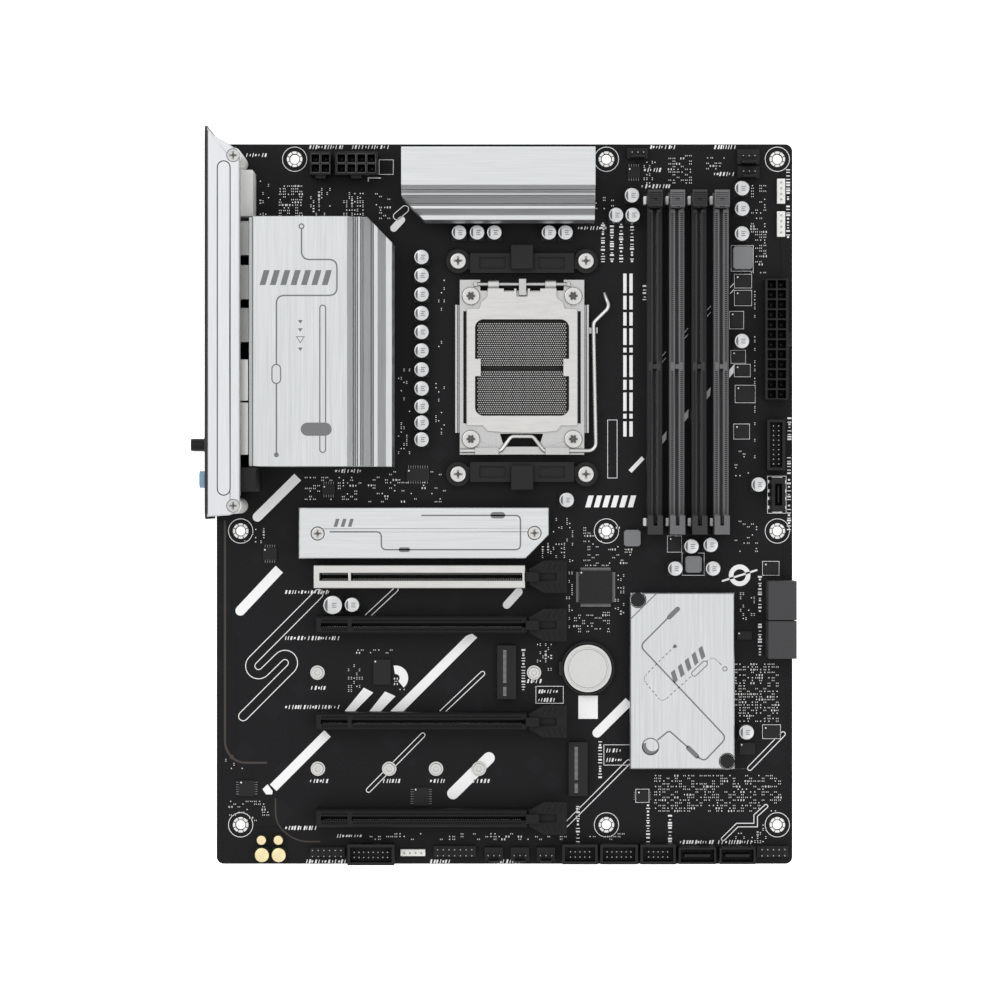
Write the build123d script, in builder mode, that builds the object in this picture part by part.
"""Desktop computer motherboard: a full-size board with its socket, slots, heatsinks and ports.

Every piece is placed on the board's own plane: X from the board's middle towards the front
edge, Y from the middle towards the top edge, Z up from the component side.
"""
from build123d import *
import os

os.makedirs("parts", exist_ok=True)

# ---- Driving dimensions, in millimetres ----
board_width = 243.84
board_height = 304.8
board_thick = 1.57
board_corner = 3.0
board_hole_radius = 1.98
hole_columns = (-88.90, -111.76, 43.18, 115.57)
hole_rows = (146.05, -11.43, -135.89)

rear_reach = 130.9
front_reach = 122.5
top_reach = 156.2
bottom_reach = 152.4
under_reach = 2.24
cover_height = 44.45

socket_x = 7.4
socket_y = 57.6
cooler_x = 27.0
cooler_y = 45.0
screw_x = 21.6
screw_y = 30.2

sink_top = 32.0
dimm_pitch = 9.33
dimm_first_x = 63.2
pcie_rows = (-30.6, -50.92, -91.56, -132.2)

# ---- The board's plane and the shared fits ----
lowest = -board_thick - under_reach
board = Plane((
    (rear_reach - front_reach) / 2,
    (bottom_reach - top_reach) / 2,
    -lowest,
))
socket = Plane(board.origin + Vector(socket_x, socket_y, 0))
shield_top = cover_height + lowest
pin_gap = 0.07
on_base = (Align.CENTER, Align.CENTER, Align.MIN)


def block(x, y, z, mode=Mode.ADD):
    """A box between the (low, high) pairs of x, y and z."""
    with Locations(((x[0] + x[1]) / 2, (y[0] + y[1]) / 2, z[0])):
        Box(x[1] - x[0], y[1] - y[0], z[1] - z[0], align=on_base, mode=mode)


def blocks(places, size, z, mode=Mode.ADD):
    """Equal boxes of size (x, y), one on each (x, y) place."""
    with Locations(*[(x, y, z[0]) for x, y in places]):
        Box(size[0], size[1], z[1] - z[0], align=on_base, mode=mode)


def posts(places, radius, z, mode=Mode.ADD):
    """Equal upright cylinders, one on each (x, y) place."""
    with Locations(*[(x, y, z[0]) for x, y in places]):
        Cylinder(radius, z[1] - z[0], align=on_base, mode=mode)


def rod_x(x, y, z, radius, mode=Mode.ADD):
    """A cylinder along X between the (low, high) pair x."""
    with Locations(((x[0] + x[1]) / 2, y, z)):
        Cylinder(radius, x[1] - x[0], rotation=(0, 90, 0), mode=mode)


def rod_y(x, y, z, radius, mode=Mode.ADD):
    """A cylinder along Y between the (low, high) pair y."""
    with Locations((x, (y[0] + y[1]) / 2, z)):
        Cylinder(radius, y[1] - y[0], rotation=(90, 0, 0), mode=mode)


def save(piece, name):
    """Label a finished sub-part and write its STEP file."""
    piece.part.label = name
    export_step(piece.part, f"parts/{name}.step")


def corners(x, y):
    """The four places at plus and minus x, plus and minus y."""
    return [(-x, -y), (x, -y), (-x, y), (x, y)]


# ---- Circuit board ----
case_holes = [(hole_columns[0], hole_rows[0])]
case_holes += [(hole_columns[1], row) for row in hole_rows[1:]]
case_holes += [(column, row) for column in hole_columns[2:] for row in hole_rows]
cooler_posts = corners(cooler_x, cooler_y)
socket_studs = corners(screw_x, screw_y)
sink_screws = [(-90, 24), (-90, 108), (-39, 143), (33, 143)]
push_pins = [(56.2, -40.3), (93.8, -108.3)]

with BuildPart(board) as pcb:
    with BuildSketch(board.offset(-board_thick)):
        RectangleRounded(board_width, board_height, board_corner)
    extrude(amount=board_thick)
    through = (-board_thick - 1, 1)
    posts(case_holes, board_hole_radius, through, Mode.SUBTRACT)
    posts([(socket_x + x, socket_y + y) for x, y in cooler_posts], 2.6, through, Mode.SUBTRACT)
    posts([(socket_x + x, socket_y + y) for x, y in socket_studs], 2.4, through, Mode.SUBTRACT)
    posts(sink_screws, 1.4, through, Mode.SUBTRACT)
    posts(push_pins, 1.6, through, Mode.SUBTRACT)
save(pcb, "pcb")

# ---- Processor socket: housing, contacts, frame, hinged load plate and lever ----
housing_top = 3.0
frame_z = (3.0, 4.4)
slot_floor = 1.0
plate_z = (4.8, 6.1)
hinge_y = 35.2
hinge_z = 5.45
hinge_radius = 0.8
lever_y = -35.1
lever_z = 5.5
lever_radius = 0.9
stud_radius = 2.2

with BuildPart(socket) as socket_housing:
    block((-22.5, 22.5), (-22.2, 22.2), (0, housing_top))
    block((-20.2, 20.2), (-20.2, 20.2), (1.2, housing_top + 1), Mode.SUBTRACT)
save(socket_housing, "socket_housing")

with BuildPart(socket) as socket_contacts:
    blocks([(0, -10.4), (0, 10.4)], (40.2, 19.4), (1.2, 2.3))
save(socket_contacts, "socket_contacts")

with BuildPart(socket) as socket_frame:
    block((-26.3, 26.3), (-36.8, 37.1), frame_z)
    block((-20.9, 20.9), (-20.9, 20.9), (0, 9), Mode.SUBTRACT)
    block((-17.6, 17.6), (32.6, 40), (0, 9), Mode.SUBTRACT)
    with BuildSketch(socket.offset(0)):
        with BuildLine():
            Polyline((-9.3, -28), (8.9, -28), (7.2, -33.3), (-7.6, -33.3), close=True)
        make_face()
    extrude(amount=9, mode=Mode.SUBTRACT)
    for side in (-1, 1):
        rail = sorted((side * 22.9, side * 26.3))
        block(rail, (-36.8, 37.1), (0, frame_z[0]))
        slot = sorted((side * 23.6, side * 24.7))
        block(slot, (-23.5, 23.8), (slot_floor, frame_z[1] + 1), Mode.SUBTRACT)
        for end in (-1, 1):
            foot = sorted((side * 17.6, side * 26.3))
            block(foot, sorted((end * 25.5, end * 36.4)), (0, frame_z[0]))
        lug = sorted((side * 18.9, side * 20.4))
        block(lug, (34.3, 36.1), (frame_z[1], hinge_z + 1.2))
        flange = sorted((side * 27.3, side * 28.3))
        block(flange, (-27.6, 26.7), (0, 3.6))
        block(sorted((side * 26.3, side * 27.3)), (-27.6, 26.7), (0, 0.8))
        sleeve = sorted((side * 9.8, side * 19.9))
        block(sleeve, (-36.8, -33.9), (frame_z[1], lever_z + 1.8))
    # Notched keeper that the lever's arm rests in
    block((28.3, 31.9), (14.4, 17.0), (2.4, 3.4))
    block((31.4, 31.9), (14.4, 17.0), (3.4, 5.6))
    # Strap over the middle of the hinge wire
    block((-1.3, 1.7), (30.4, 31.4), (frame_z[1], 7.6))
    block((-1.3, 1.7), (30.4, 37.4), (6.8, 7.6))
    block((-1.3, 1.7), (36.7, 37.4), (5.0, 7.6))
    rod_x((-30, 30), lever_y, lever_z, lever_radius + pin_gap, Mode.SUBTRACT)
    rod_x((-20.4, 20.4), hinge_y, hinge_z, hinge_radius, Mode.SUBTRACT)
    posts(socket_studs, stud_radius + 0.1, (-1, 2.8), Mode.SUBTRACT)
    posts(socket_studs, 1.7, (0, 9), Mode.SUBTRACT)
    # Hinge wire, pressed into the lugs
    rod_x((-20.4, 20.4), hinge_y, hinge_z, hinge_radius)
save(socket_frame, "socket_frame")

with BuildPart(socket) as socket_screws:
    posts(socket_studs, 3.85, (frame_z[1], 6.3))
    fillet(socket_screws.faces().sort_by(Axis.Z)[-4:].edges(), 0.6)
    posts(socket_studs, 1.5, (-2.4, frame_z[1]))
    with Locations(*[(x, y, 5.1) for x, y in socket_studs]):
        with Locations(*[Rotation(0, 0, turn) for turn in (0, 60, 120)]):
            Box(3.7, 1.1, 2, align=on_base, mode=Mode.SUBTRACT)
save(socket_screws, "socket_screws")

plate_half = [
    (0, -27.6), (8, -27.4), (14.6, -26.8), (16.6, -24.4), (23.4, -24.4), (23.4, 24.6),
    (18.0, 24.9), (17.3, 27.5), (14.6, 29.7), (14.6, 33.4), (7.6, 33.4), (7.6, 32.0),
    (3.4, 32.0), (3.4, 33.4), (2.3, 33.4), (2.3, 30.0), (0, 30.0),
]
with BuildPart(socket) as load_plate:
    with BuildSketch(socket.offset(plate_z[0])):
        with BuildLine():
            Polyline(*plate_half)
            mirror(about=Plane.YZ)
        make_face()
        with Locations((0, 0)):
            RectangleRounded(39.5, 40.5, 3.5, mode=Mode.SUBTRACT)
    extrude(amount=plate_z[1] - plate_z[0])
    for side in (-1, 1):
        block(sorted((side * 17.4, side * 20.2)), (-3.7, 3.7), plate_z)
        block(sorted((side * 17.4, side * 18.2)), (-3.4, 3.4), (4.0, plate_z[0]))
        knuckle = sorted((side * 9.7, side * 14.4))
        block(knuckle, (32.5, hinge_y), plate_z)
        rod_x(knuckle, hinge_y, hinge_z, 1.9)
        rod_x(knuckle, hinge_y, hinge_z, hinge_radius + pin_gap, Mode.SUBTRACT)
save(load_plate, "load_plate")

lever_route = [
    (-26.1, lever_y), (-9.0, lever_y), (-4.6, -29.1), (4.6, -29.1), (9.2, lever_y),
    (31.2, lever_y), (30.2, 19.0), (36.9, 25.6), (34.6, 31.6),
]
lever_bends = [1.8, 2.4, 2.4, 1.8, 3.2, 3.0, 3.0]
lever_plane = socket.offset(lever_z)
with BuildPart(socket) as load_lever:
    with BuildLine(lever_plane) as lever_path:
        FilletPolyline(*lever_route, radius=lever_bends)
    with BuildSketch(Plane(lever_path.wire() @ 0, z_dir=lever_path.wire() % 0)):
        Circle(lever_radius)
    sweep(path=lever_path.wire())
save(load_lever, "load_lever")

# ---- Back plate and cooler brackets ----
film_z = (-board_thick - 0.4, -board_thick)
with BuildPart(socket) as backplate:
    for low, high in ((lowest, film_z[0]), film_z):
        with BuildSketch(socket.offset(low)):
            RectangleRounded(66, 102, 6)
            RectangleRounded(26, 36, 3, mode=Mode.SUBTRACT)
        extrude(amount=high - low - 0.01 * (low == lowest))
        if low != lowest:
            posts(cooler_posts + socket_studs, 3.0, film_z, Mode.SUBTRACT)
    posts(cooler_posts, 2.4, (lowest, 4.2))
    posts(socket_studs, stud_radius, (lowest, 2.7))
    posts(cooler_posts, 1.7, (lowest - 1, 9), Mode.SUBTRACT)
    posts(socket_studs, 1.6, (lowest - 1, 9), Mode.SUBTRACT)
save(backplate, "backplate")


def cooler_bracket(side):
    """One plastic rail with two screw lobes and the middle hook for a cooler's clip."""
    lobes = [(-cooler_x, side * cooler_y), (cooler_x, side * cooler_y)]
    posts(lobes, 5.3, (0, 4.4))
    block((-cooler_x, cooler_x), sorted((side * 41.6, side * 47.4)), (0, 4.4))
    block((-22, 22), sorted((side * 39.9, side * 48.4)), (0, 6.0))
    block((-4.7, 4.7), sorted((side * 41.4, side * 51.6)), (0, 9.5))
    block((-4.7, 4.7), sorted((side * 48.4, side * 51.6)), (0, 5.0), Mode.SUBTRACT)
    block((-18, -7), sorted((side * 41.6, side * 46.6)), (4.6, 9), Mode.SUBTRACT)
    block((7, 18), sorted((side * 41.6, side * 46.6)), (4.6, 9), Mode.SUBTRACT)
    posts(lobes, 2.5, (-1, 9), Mode.SUBTRACT)


with BuildPart(socket) as cooler_bracket_upper:
    cooler_bracket(1)
save(cooler_bracket_upper, "cooler_bracket_upper")

with BuildPart(socket) as cooler_bracket_lower:
    cooler_bracket(-1)
save(cooler_bracket_lower, "cooler_bracket_lower")

with BuildPart(socket) as cooler_screws:
    posts(cooler_posts, 3.5, (4.4, 6.4))
    fillet(cooler_screws.faces().sort_by(Axis.Z)[-4:].edges(), 0.7)
    posts(cooler_posts, 1.6, (-2.6, 4.4))
    with Locations(*[(x, y, 5.3) for x, y in cooler_posts]):
        Box(3.6, 0.9, 2, align=on_base, mode=Mode.SUBTRACT)
        Box(0.9, 3.6, 2, align=on_base, mode=Mode.SUBTRACT)
save(cooler_screws, "cooler_screws")

# ---- Power stage heatsinks ----
sink_base = 4.0
choke_roof = 9.6
groove_depth = 1.8
thread_depth = 8.0
# Lands of the ribbed face as (run out from the flat top, drop below it); a groove parts each pair
rib_lands = [
    [(2.3, 2.2)], [(2.7, 2.4), (3.1, 2.4)], [(3.5, 2.6), (4.0, 2.6)], [(4.3, 2.8), (5.3, 2.8)],
    [(5.8, 3.4), (6.2, 3.4)], [(6.7, 3.6), (9.6, 6.6)], [(10.0, 6.8), (10.3, 6.8)],
    [(10.7, 7.2), (12.4, 7.2), (15.8, 10.8), (18.3, 10.8), (19.1, 14.0)],
]
rib_run = rib_lands[-1][-1][0]


def stepped(flat, end, bevel):
    """Section of a heatsink: a flat top, then sloped and grooved lands down to a foot over the chokes."""
    scale = (end - flat[1]) / rib_run
    outline = [(flat[0], sink_base), (flat[0], sink_top - bevel)]
    outline += [(flat[0] + bevel, sink_top), (flat[1], sink_top)]
    for land in rib_lands:
        outline += [(flat[1] + run * scale, sink_top - drop) for run, drop in land]
        if land is not rib_lands[-1]:
            floor = sink_top - land[-1][1] - groove_depth
            following = rib_lands[rib_lands.index(land) + 1]
            outline += [(flat[1] + land[-1][0] * scale, floor), (flat[1] + following[0][0] * scale, floor)]
    outline += [(end, choke_roof), (flat[1] - 1, choke_roof), (flat[1] - 1, sink_base)]
    return outline


rear_x = (-104.8, -65.3)
rear_end = -46.2
rear_y = (15.6, 119.4)
rear_bevel = 0.5
with BuildPart(board) as rear_heatsink:
    section = Plane(board.origin + Vector(0, rear_y[1], 0), x_dir=(1, 0, 0), z_dir=(0, -1, 0))
    with BuildSketch(section):
        with BuildLine():
            Polyline(*stepped(rear_x, rear_end, rear_bevel), close=True)
        make_face()
    extrude(amount=rear_y[1] - rear_y[0])
    block((rear_x[0] - 1.6, rear_x[0]), rear_y, (24, 28))
    with BuildSketch(board):
        with BuildLine():
            Polyline((-57.6, 120), (-46.0, 120), (-46.0, 108.3), close=True)
        make_face()
    extrude(amount=60, mode=Mode.SUBTRACT)
    posts(sink_screws[:2], 1.25, (sink_base - 1, sink_base + thread_depth), Mode.SUBTRACT)
save(rear_heatsink, "rear_heatsink")

top_x = (-42.9, 37.7)
top_y = (132.4, 148.4)
top_end = 118.1
top_bevel = 1.6
with BuildPart(board) as top_heatsink:
    section = Plane(board.origin + Vector(top_x[0], 0, 0), x_dir=(0, 1, 0), z_dir=(1, 0, 0))
    profile = stepped((-top_y[1], -top_y[0]), -top_end, top_bevel)
    with BuildSketch(section):
        with BuildLine():
            Polyline(*[(-across, height) for across, height in profile], close=True)
        make_face()
    extrude(amount=top_x[1] - top_x[0])
    with BuildSketch(board):
        with BuildLine():
            Polyline((-44, 128.6), (-42.9, 128.1), (-33.3, 118.1), (-33, 117), (-44, 117), close=True)
        make_face()
    extrude(amount=60, mode=Mode.SUBTRACT)
    posts(sink_screws[2:], 1.25, (sink_base - 1, sink_base + thread_depth), Mode.SUBTRACT)
save(top_heatsink, "top_heatsink")

with BuildPart(board) as heatsink_screws:
    posts(sink_screws, 2.7, (-board_thick - 1.7, -board_thick))
    posts(sink_screws, 1.2, (-board_thick, sink_base + 6))
save(heatsink_screws, "heatsink_screws")

# ---- Power stages, chokes and other chips ----
stage_height = 1.2
rear_stages = [(-72.8, 21.5 + 7.1 * row) for row in range(14)]
top_stages = [(-35.5 + 9.6 * column, 137) for column in range(8)]
small_chips = [
    ((-38.5, -32.1), (-127.8, -120.0)), ((-112.4, -105.9), (-123.7, -117.0)),
    ((-77.2, -71.8), (4.1, 8.2)), ((-102.3, -96.4), (-23.6, -18.5)),
    ((-41.4, -31.9), (9.9, 15.0)), ((-55.6, -48.2), (-76.5, -65.8)),
    ((97.8, 104.3), (91.9, 96.9)), ((97.8, 104.3), (84.4, 90.1)),
    ((95.7, 100.9), (74.6, 81.2)), ((96.3, 101.7), (60.0, 64.7)),
    ((97.8, 103.7), (54.3, 58.8)), ((98.1, 105.8), (43.3, 49.9)),
    ((97.5, 103.4), (27.9, 33.5)), ((69.4, 74.6), (-20.0, -13.9)),
    ((109.7, 115.9), (-29.8, -24.7)), ((98.4, 104.9), (-57.4, -53.9)),
    ((109.7, 116.5), (-99.0, -93.9)), ((99.5, 106.1), (-106.1, -101.0)),
    ((56.0, 60.8), (-126.0, -121.2)), ((52.1, 57.4), (138.2, 142.7)),
]
with BuildPart(board) as chips:
    blocks(rear_stages, (6.0, 5.0), (0, stage_height))
    blocks(top_stages, (5.0, 6.0), (0, stage_height))
    for x, y in small_chips:
        block(x, y, (0.05, 1.1))
    block((31.6, 45.6), (-42.2, -28.2), (0.1, 1.6))
save(chips, "chips")

with BuildPart(board) as power_chokes:
    blocks([(-57.0, 23 + 9.6 * row) for row in range(9)], (7.0, 7.0), (0, 8.6))
    blocks([(-28 + 8.7 * column, 124.5) for column in range(8)], (7.0, 7.0), (0, 8.6))
    blocks([(100.7, 104.0)], (8.5, 9.6), (0, 5.6))
    blocks([(79.9, -25.5), (54.0, -14.4)], (7.0, 7.0), (0, 4.0))
    chamfer(power_chokes.edges().filter_by(Axis.Z), 0.8)
save(power_chokes, "power_chokes")

drive_sink_x = (-86.5, 18.7)
drive_sink_y = (-23.0, -1.4)
drive_sink_z = (5.2, 11.0)
chipset_sink_x = (52.9, 96.9)
chipset_sink_y = (-111.7, -37.4)
chipset_sink_z = (2.6, 9.0)
chipset_centre = (74.9, -74.5)
with BuildPart(board) as thermal_pads:
    block((-76.2, -69.4), (18.5, 116.5), (stage_height, sink_base))
    block((-40.0, 35.0), (134.0, 140.0), (stage_height, sink_base))
    block((-70.0, 4.0), (-21.5, -3.0), (drive_sink_z[0] - 1.4, drive_sink_z[0]))
    blocks([chipset_centre], (12, 12), (2.0, chipset_sink_z[0]))
save(thermal_pads, "thermal_pads")

# ---- Drive heatsink, drive sockets and their standoffs ----
drive_screws = [(-78.6, -12.4), (12.6, -12.2)]
standoffs = [
    (-79.2, -71.4), (12.5, -71.4), (-79.0, -112.1), (-48.8, -112.1), (-29.0, -112.1), (-10.8, -112.1),
]
with BuildPart(board) as m2_heatsink:
    block(drive_sink_x, drive_sink_y, drive_sink_z)
    with BuildSketch(board):
        with BuildLine():
            Polyline((18.8, -12.8), (18.8, -23.1), (8.8, -23.1), close=True)
        make_face()
    extrude(amount=20, mode=Mode.SUBTRACT)
    chamfer(m2_heatsink.faces().sort_by(Axis.Z)[-1].edges(), 0.4)
    posts(drive_screws, 2.9, (9.6, 12), Mode.SUBTRACT)
    posts(drive_screws, 1.6, (0, 12), Mode.SUBTRACT)
save(m2_heatsink, "m2_heatsink")

with BuildPart(board) as m2_screws:
    posts(drive_screws, 2.7, (9.6, 11.2))
    fillet(m2_screws.faces().sort_by(Axis.Z)[-2:].edges(), 0.4)
    posts(drive_screws, 1.2, (2.6, 9.6))
    with Locations(*[(x, y, 10.4) for x, y in drive_screws]):
        Box(3.2, 0.8, 2, align=on_base, mode=Mode.SUBTRACT)
        Box(0.8, 3.2, 2, align=on_base, mode=Mode.SUBTRACT)
save(m2_screws, "m2_screws")

drive_sockets = [(0.9, -71.1), (31.1, -112.0), (6.4, -12.2)]
with BuildPart(board) as m2_sockets:
    blocks(drive_sockets[:2], (8.0, 22.8), (0, 4.2))
    blocks([(x - 2.2, y) for x, y in drive_sockets[:2]], (4.0, 21.8), (1.9, 2.9), Mode.SUBTRACT)
    blocks(drive_sockets[2:], (4.4, 17.8), (0, 3.6))
    blocks([(x - 1.2, y) for x, y in drive_sockets[2:]], (2.4, 16.8), (1.9, 2.9), Mode.SUBTRACT)
save(m2_sockets, "m2_sockets")

with BuildPart(board) as m2_standoffs:
    posts(standoffs, 2.3, (0, 2.4))
    posts(standoffs, 3.1, (0, 0.6))
    posts(standoffs, 1.1, (-1, 9), Mode.SUBTRACT)
    posts(drive_screws, 2.6, (0, drive_sink_z[0]))
    posts(drive_screws, 1.3, (-1, 9), Mode.SUBTRACT)
save(m2_standoffs, "m2_standoffs")

# ---- Chipset, its heatsink and push pins ----
with BuildPart(board) as chipset:
    blocks([chipset_centre], (25, 25), (0.3, 1.3))
    blocks([chipset_centre], (10, 10), (1.3, 2.0))
save(chipset, "chipset")

with BuildPart(board) as chipset_heatsink:
    block(chipset_sink_x, chipset_sink_y, chipset_sink_z)
    chamfer(chipset_heatsink.faces().sort_by(Axis.Z)[-1].edges(), 0.5)
    posts(push_pins, 1.6, (0, 12), Mode.SUBTRACT)
    posts(push_pins, 3.4, (8.0, 12), Mode.SUBTRACT)
save(chipset_heatsink, "chipset_heatsink")

with BuildPart(board) as chipset_push_pins:
    posts(push_pins, 3.0, (8.0, 9.6))
    fillet(chipset_push_pins.faces().sort_by(Axis.Z)[-2:].edges(), 0.5)
    posts(push_pins, 1.4, (-board_thick, 8.0))
    posts(push_pins, 2.0, (-board_thick - 1.4, -board_thick))
save(chipset_push_pins, "chipset_push_pins")

# ---- Rear ports, shield and cover ----
shield_x = (-123.7, -122.6)
shield_y = (-6.2, top_reach)
port_face = -124.2
port_back = -106.6
usb_rows = (111.5, 93.0, 75.0)
video_y = (120.2, 139.6)
lan_y = (43.0, 60.2)
wifi_y = (20.4, 42.4)
antenna_y = 24.7
antenna_z = (9.0, 21.0)
audio_y = 10.2
audio_z = (6.0, 17.0, 28.0)
jack_bore = 1.85
jack_depths = (13.4, 13.8, 14.2)
jack_mouth = -126.7
button_y = 149.5
button_z = 8.0
port_gap = 0.2

with BuildPart(board) as video_ports:
    block((-122.4, -105.2), video_y, (0, 21))
    video_mid = sum(video_y) / 2
    for z, width, depth in (((3.0, 8.6), 15.8, 10.5), ((12.0, 17.4), 17.2, 10.5)):
        block((port_face, -122.4), (video_mid - width / 2, video_mid + width / 2), z)
        inner = (video_mid - width / 2 + 0.5, video_mid + width / 2 - 0.5)
        block((port_face - 1, port_face + depth), inner, (z[0] + 0.5, z[1] - 0.5), Mode.SUBTRACT)
        tongue = (video_mid - width / 2 + 1.6, video_mid + width / 2 - 1.6)
        block((port_face + 1.5, port_face + depth), tongue, (z[0] + 2.1, z[0] + 3.2))
save(video_ports, "video_ports")

with BuildPart(board) as usb_ports:
    for row in usb_rows:
        block((port_face, port_back), (row - 7.2, row + 7.2), (0, 15.8))
        for low in (1.6, 9.0):
            block((port_face - 1, port_face + 9.5), (row - 6.5, row + 6.5), (low, low + 5.1), Mode.SUBTRACT)
            block((port_face + 0.8, port_face + 9.5), (row - 5.6, row + 5.6), (low + 2.9, low + 4.6))
save(usb_ports, "usb_ports")

with BuildPart(board) as network_port:
    block((port_face, port_back), lan_y, (0, 27))
    lan_mid = sum(lan_y) / 2
    block((port_face - 1, port_face + 13), (lan_mid - 6, lan_mid + 6), (15.4, 24), Mode.SUBTRACT)
    block((port_face - 1, port_face + 13), (lan_mid - 3, lan_mid + 3), (13.6, 15.4), Mode.SUBTRACT)
    block((port_face - 1, port_face + 9.5), (lan_mid - 6.5, lan_mid + 6.5), (6.6, 11.7), Mode.SUBTRACT)
    block((port_face + 0.8, port_face + 9.5), (lan_mid - 5.6, lan_mid + 5.6), (9.5, 11.2))
    block((port_face - 1, port_face + 7), (lan_mid - 4.5, lan_mid + 4.5), (1.4, 4.6), Mode.SUBTRACT)
    block((port_face + 0.8, port_face + 7), (lan_mid - 3.4, lan_mid + 3.4), (2.7, 3.4))
save(network_port, "network_port")

with BuildPart(board) as wifi_module:
    block((-122.4, port_back), wifi_y, (0, 26))
    for height in antenna_z:
        rod_x((-123, -118), antenna_y, height, 2.4, Mode.SUBTRACT)
save(wifi_module, "wifi_module")

with BuildPart(board) as antenna_jacks:
    for height in antenna_z:
        rod_x((-rear_reach, -122.9), antenna_y, height, 2.6)
        rod_x((-125.4, -122.9), antenna_y, height, 3.1)
        rod_x((-122.9, -118.2), antenna_y, height, 2.3)
        rod_x((-rear_reach - 1, -125.5), antenna_y, height, 1.9, Mode.SUBTRACT)
        rod_x((-rear_reach + 1.4, -125.5), antenna_y, height, 0.5)
save(antenna_jacks, "antenna_jacks")

with BuildPart(board) as audio_jacks:
    block((-122.4, -103.0), (audio_y - 5.0, audio_y + 5.0), (0, 33.5))
    for height, depth in zip(audio_z, jack_depths):
        rod_x((jack_mouth, -122.4), audio_y, height, 3.4)
        rod_x((jack_mouth - 1, jack_mouth + depth), audio_y, height, jack_bore, Mode.SUBTRACT)
save(audio_jacks, "audio_jacks")

with BuildPart(board) as flash_switch:
    block((-122.4, -117.4), (button_y - 3, button_y + 3), (0, button_z + 3))
    rod_x((-123, -119.4), button_y, button_z, 1.6 + pin_gap, Mode.SUBTRACT)
save(flash_switch, "flash_switch")

with BuildPart(board) as flash_button:
    rod_x((port_face, -120.4), button_y, button_z, 1.6)
save(flash_button, "flash_button")

with BuildPart(board) as io_shield:
    block(shield_x, shield_y, (lowest, shield_top))
    chamfer(io_shield.edges().filter_by(Axis.X), 2.4)
    cut_x = (shield_x[0] - 1, shield_x[1] + 1)
    for z, width in (((3.0, 8.6), 15.8), ((12.0, 17.4), 17.2)):
        reach = width / 2 + port_gap
        across = (video_mid - reach, video_mid + reach)
        block(cut_x, across, (z[0] - port_gap, z[1] + port_gap), Mode.SUBTRACT)
    for row in usb_rows:
        reach = 7.2 + port_gap
        block(cut_x, (row - reach, row + reach), (-port_gap, 15.8 + port_gap), Mode.SUBTRACT)
    block(cut_x, (lan_y[0] - port_gap, lan_y[1] + port_gap), (-port_gap, 27 + port_gap), Mode.SUBTRACT)
    for height in antenna_z:
        rod_x(cut_x, antenna_y, height, 3.1 + port_gap, Mode.SUBTRACT)
    for height in audio_z:
        rod_x(cut_x, audio_y, height, 3.4 + port_gap, Mode.SUBTRACT)
    rod_x(cut_x, button_y, button_z, 1.9, Mode.SUBTRACT)
save(io_shield, "io_shield")

cover_posts = [(-111.9, 143.8), (-111.9, -0.7)]
cover_z = (shield_top - 1.5, shield_top)
with BuildPart(board) as io_cover:
    with BuildSketch(board.offset(cover_z[0])):
        with BuildLine():
            Polyline(
                (shield_x[1], -5.2), (-113.5, -4.6), (-110.2, -3.4), (-109.2, -1.2), (-109.2, 144.6),
                (-110.2, 146.0), (-113.8, 148.6), (-120.2, 152.3), (shield_x[1], 155.2), close=True,
            )
        make_face()
    extrude(amount=cover_z[1] - cover_z[0])
    chamfer(io_cover.faces().sort_by(Axis.Z)[-1].edges(), 0.4)
    block((-110.2, -109.2), (3.5, 139.5), (cover_z[0] - 3.5, cover_z[0]))
    posts(cover_posts, 1.6, (30, 50), Mode.SUBTRACT)
    posts(cover_posts, 2.75, (cover_z[1] - 1.0, 50), Mode.SUBTRACT)
save(io_cover, "io_cover")

with BuildPart(board) as io_cover_posts:
    posts(cover_posts, 3.3, (0, cover_z[0]))
    posts(cover_posts, 1.3, (cover_z[0] - 8, cover_z[0] + 1), Mode.SUBTRACT)
save(io_cover_posts, "io_cover_posts")

with BuildPart(board) as io_cover_screws:
    posts(cover_posts, 1.2, (cover_z[0] - 6, cover_z[1] - 0.9))
    posts(cover_posts, 2.6, (cover_z[1] - 0.9, cover_z[1] - 0.1))
    with Locations(*[(x, y, cover_z[1] - 0.7) for x, y in cover_posts]):
        Box(3.2, 0.8, 2, align=on_base, mode=Mode.SUBTRACT)
        Box(0.8, 3.2, 2, align=on_base, mode=Mode.SUBTRACT)
save(io_cover_screws, "io_cover_screws")

# ---- Memory slots and their latches ----
slot_half = 3.2
dimm_y = (-12.8, 131.7)
latch_pivot_y = 126.5
latch_pivot_z = 3.5
pivot_radius = 0.9
dimm_columns = [dimm_first_x + dimm_pitch * column for column in range(4)]

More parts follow.
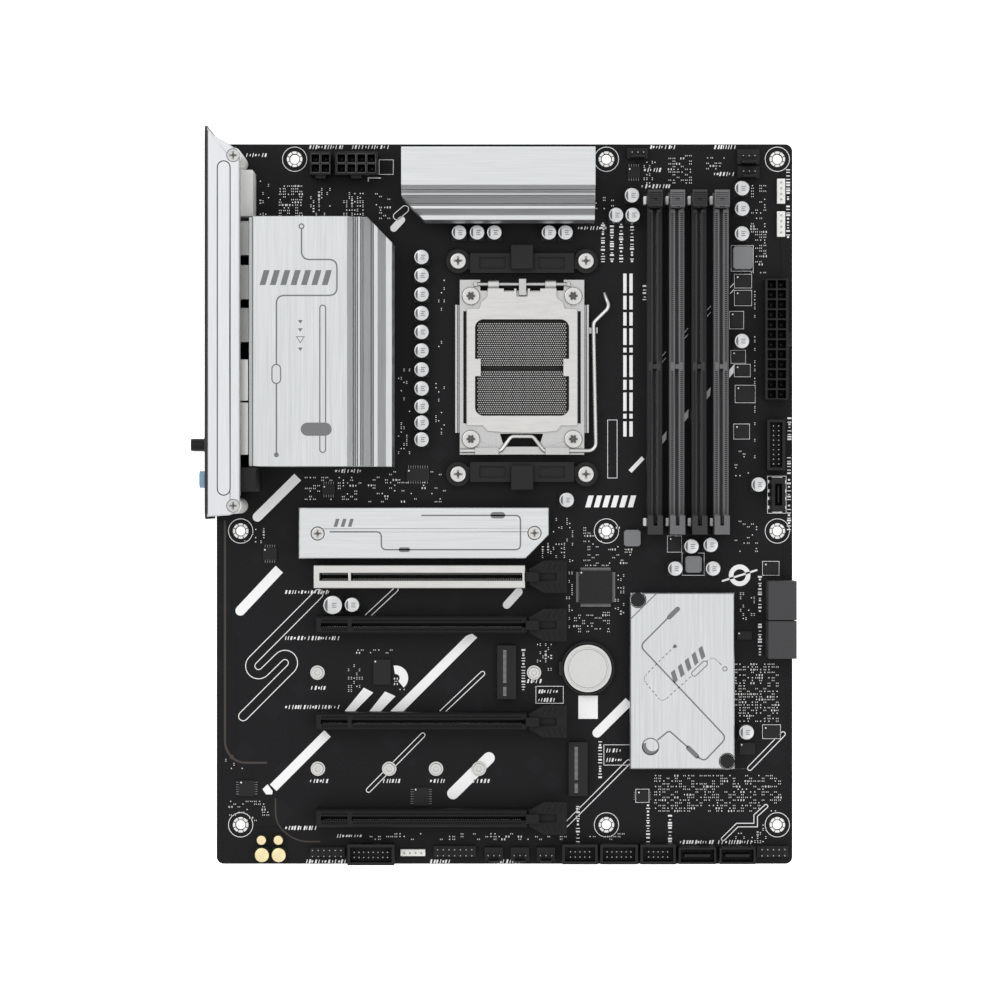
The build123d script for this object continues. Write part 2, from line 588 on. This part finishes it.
for number, column in enumerate(dimm_columns, 1):
    dimm = Plane(board.origin + Vector(column, 0, 0))
    with BuildPart(dimm) as dimm_slot:
        block((-slot_half, slot_half), (-4.8, 124.0), (0, 10.2))
        chamfer(dimm_slot.faces().sort_by(Axis.Z)[-1].edges().filter_by(Axis.Y), 0.7)
        block((-slot_half, slot_half), (dimm_y[0], -4.8), (0, 16.5))
        block((-0.75, 0.75), (-9.0, 56.9), (4.6, 20), Mode.SUBTRACT)
        block((-0.75, 0.75), (58.9, 125), (4.6, 20), Mode.SUBTRACT)
        block((-slot_half, slot_half), (124.0, dimm_y[1]), (0, 0.4))
        for side in (-1, 1):
            block(sorted((side * 2.0, side * slot_half)), (124.0, 129.4), (0.4, 7.6))
        bore = pivot_radius + pin_gap
        rod_x((-5, 5), latch_pivot_y, latch_pivot_z, bore, Mode.SUBTRACT)
    save(dimm_slot, f"dimm_slot_{number}")

    with BuildPart(dimm) as dimm_latch:
        block((-1.8, 1.8), (125.4, 129.0), (1.8, 9.6))
        block((-3.1, 3.1), (124.5, dimm_y[1]), (9.6, 17.5))
        block((-0.8, 0.8), (124.0, 127.5), (11.0, 18), Mode.SUBTRACT)
        block((-4, 4), (130.6, 132), (8, 12.5), Mode.SUBTRACT)
        chamfer(dimm_latch.faces().sort_by(Axis.Z)[-1].edges().filter_by(Axis.X), 0.6)
        rod_x((-2.9, 2.9), latch_pivot_y, latch_pivot_z, pivot_radius)
    save(dimm_latch, f"dimm_latch_{number}")

# ---- Expansion card slots and their latches ----
pcie_x = (-79.2, 9.4)
pcie_half = 3.75
pcie_top = 11.25
key_x = -65.1
card_pivot_x = 12.5
card_pivot_z = 3.0

for number, row in enumerate(pcie_rows, 1):
    lane = Plane(board.origin + Vector(0, row, 0))
    with BuildPart(lane) as pcie_slot:
        block(pcie_x, (-pcie_half, pcie_half), (0, pcie_top))
        chamfer(pcie_slot.faces().sort_by(Axis.Z)[-1].edges().filter_by(Axis.X), 0.8)
        block((pcie_x[0] + 2, key_x - 0.9), (-0.85, 0.85), (3.4, 20), Mode.SUBTRACT)
        block((key_x + 0.9, pcie_x[1] + 1), (-0.85, 0.85), (3.4, 20), Mode.SUBTRACT)
        for side in (-1, 1):
            block((pcie_x[1], 14.0), sorted((side * 2.2, side * 3.6)), (0, 7.5))
        bore = pivot_radius + pin_gap
        rod_y(card_pivot_x, (-5, 5), card_pivot_z, bore, Mode.SUBTRACT)
    save(pcie_slot, f"pcie_slot_{number}")

    with BuildPart(lane) as pcie_latch:
        block((10.2, 14.5), (-2.0, 2.0), (1.3, 14.0))
        block((8.9, 10.2), (-2.0, 2.0), (11.8, 14.0))
        with BuildSketch(lane.offset(8.6)):
            with BuildLine():
                Polyline(
                    (10.2, -3.2), (16.6, -6.9), (26.2, -6.9), (26.2, 6.9), (16.6, 6.9), (10.2, 3.2),
                    close=True,
                )
            make_face()
        extrude(amount=2.2)
        block((14.5, 21.8), (-1.6, 1.6), (9.4, 12), Mode.SUBTRACT)
        rod_y(card_pivot_x, (-3.3, 3.3), card_pivot_z, pivot_radius)
    save(pcie_latch, f"pcie_latch_{number}")

armour_half = 4.85
with BuildPart(board) as pcie_slot_armour:
    row = pcie_rows[0]
    block((-80.2, 8.6), (row - armour_half, row + armour_half), (0, 11.9))
    block((-79.3, 9.0), (row - 3.85, row + 3.85), (-1, 11.35), Mode.SUBTRACT)
    block((-77.8, 9.0), (row - 1.5, row + 1.5), (11, 13), Mode.SUBTRACT)
    chamfer(pcie_slot_armour.faces().sort_by(Axis.Z)[-1].edges().filter_by(Axis.X), 0.3)
save(pcie_slot_armour, "pcie_slot_armour")

# ---- Battery ----
cell_place = (35.2, -69.5)
cell_radius = 10.0
with BuildPart(board) as battery_holder:
    posts([cell_place], 11.4, (0, 3.0))
    posts([cell_place], cell_radius + 0.35, (1.0, 9), Mode.SUBTRACT)
    block((cell_place[0] - 12.2, cell_place[0] - 10.6), (cell_place[1] - 3, cell_place[1] + 3), (0, 4.6))
    posts([cell_place], cell_radius + 0.35, (1.0, 9), Mode.SUBTRACT)
save(battery_holder, "battery_holder")

with BuildPart(board) as coin_cell:
    posts([cell_place], cell_radius, (1.0, 4.0))
    posts([cell_place], cell_radius - 1.1, (4.0, 4.2))
    fillet(coin_cell.faces().sort_by(Axis.Z)[-1].edges(), 0.15)
save(coin_cell, "coin_cell")

# ---- Power connectors, drive data ports and headers ----
cell_pitch = 4.2


def power_plug(x, y, columns, rows):
    """Upright power connector with one square well for each pin."""
    block(x, y, (0, 12.6))
    middle = ((x[0] + x[1]) / 2, (y[0] + y[1]) / 2)
    with Locations((middle[0], middle[1], 2.5)):
        with GridLocations(cell_pitch, cell_pitch, columns, rows):
            Box(3.4, 3.4, 20, align=on_base, mode=Mode.SUBTRACT)


with BuildPart(board) as power_connectors:
    power_plug((109.6, 119.2), (43.9, 94.6), 2, 12)
    power_plug((-81.9, -72.9), (138.4, 148.0), 2, 2)
    power_plug((-71.3, -53.3), (138.4, 148.0), 4, 2)
    block((119.2, 120.6), (66.6, 71.9), (0, 10.5))
    block((-79.6, -75.2), (137.0, 138.4), (0, 10.5))
    block((-64.6, -60.0), (137.0, 138.4), (0, 10.5))
save(power_connectors, "power_connectors")

side_sata = [(-64.9, -49.1), (-48.7, -32.3)]
upright_sata = [(73.3, 89.1), (90.5, 105.7)]
with BuildPart(board) as sata_ports:
    for y in side_sata:
        block((110.6, front_reach), y, (0, 15.6))
        for low in (1.4, 8.6):
            block((114.6, front_reach + 1), (y[0] + 0.9, y[1] - 0.9), (low, low + 5.2), Mode.SUBTRACT)
            block((114.6, front_reach - 1.6), (y[0] + 2.4, y[1] - 2.4), (low + 2.0, low + 3.2))
    for x in upright_sata:
        block(x, (-151.6, -144.6), (0, 9.6))
        block((x[0] + 0.9, x[1] - 0.9), (-150.7, -145.5), (2.6, 12), Mode.SUBTRACT)
        block((x[0] + 2.4, x[1] - 2.4), (-148.7, -147.5), (2.6, 8.6))
save(sata_ports, "sata_ports")

shrouds = [
    ((-66.2, -46.4), (-152.2, -143.4), 8.6), ((24.3, 39.3), (-151.8, -143.4), 8.6),
    ((40.3, 56.2), (-151.8, -143.4), 8.6), ((57.2, 72.2), (-151.8, -143.4), 8.6),
    ((110.6, 118.2), (14.2, 35.6), 9.0),
]
fan_headers = [
    ((98.3, 107.8), (143.6, 149.9)), ((98.5, 107.8), (137.7, 142.8)), ((51.8, 60.6), (146.0, 150.5)),
    ((-8.4, -0.6), (-151.0, -145.2)), ((2.6, 10.4), (-151.0, -145.2)), ((13.6, 21.4), (-151.0, -145.2)),
]
strip_headers = [
    ((115.4, 118.4), (127.2, 137.2)), ((115.4, 118.4), (113.2, 123.5)), ((-43.9, -33.6), (-148.8, -146.2)),
    ((-82.3, -67.5), (-149.2, -145.2)), ((-30.0, -12.0), (-149.2, -144.6)), ((106.6, 120.0), (-149.2, -144.6)),
]
with BuildPart(board) as headers:
    for x, y, height in shrouds:
        block(x, y, (0, height))
        block((x[0] + 1.2, x[1] - 1.2), (y[0] + 1.2, y[1] - 1.2), (1.6, 12), Mode.SUBTRACT)
    for x, y in fan_headers:
        block(x, y, (0, 3.0))
        block((x[0] + 1.6, x[1] - 1.6), (y[0], y[0] + 1.0), (3.0, 10.6))
    for x, y in strip_headers:
        block(x, y, (0, 2.5))
    block((112.5, 118.2), (-3.0, 10.9), (0, 9.4))
    block((113.9, 116.8), (-0.6, 8.5), (2.4, 12), Mode.SUBTRACT)
    block((115.0, 115.7), (0.4, 7.5), (2.4, 8.4))
save(headers, "headers")

# ---- Capacitors ----
cap_rows = [104.1, 96.4, 88.4, 80.4, 72.5, 64.7, 56.7, 48.7, 41.2, 34.3, 27.2]
cans = [(x, 114.5) for x in (-19.2, -11.6, -4.3, 18.7, 25.7)]
cans += [(-35.0, y) for y in cap_rows]
cans += [(53.7, 130.1), (47.0, 121.8), (54.0, 121.8), (100.1, 133.1), (100.1, 124.5), (100.1, 114.0)]
cans += [(100.1, 68.7), (107.1, 8.2), (78.8, -17.8), (86.9, -17.2), (72.0, -27.2), (87.9, -27.2)]
cans += [(102.0, -96.2), (26.2, 1.7), (-64.3, -42.5)]
audio_cans = [(-102.6, -141.9, 2.0), (-95.5, -141.9, 2.0), (-102.4, -148.1, 3.0), (-95.3, -148.1, 3.0)]


def can(x, y, radius, height):
    """One can capacitor on its square plastic foot."""
    blocks([(x, y)], (2 * radius, 2 * radius), (0, 1.0))
    posts([(x, y)], radius, (1.0, height))


with BuildPart(board) as capacitors:
    blocks(cans, (6.3, 6.3), (0, 1.0))
    posts(cans, 3.15, (1.0, 8.0))
    can(-72.4, -42.6, 4.0, 8.5)
    fillet(capacitors.faces().filter_by(Plane.XY).group_by(Axis.Z)[-1].edges(), 0.4)
save(capacitors, "capacitors")

with BuildPart(board) as audio_capacitors:
    for x, y, radius in audio_cans:
        can(x, y, radius, 6.0)
save(audio_capacitors, "audio_capacitors")
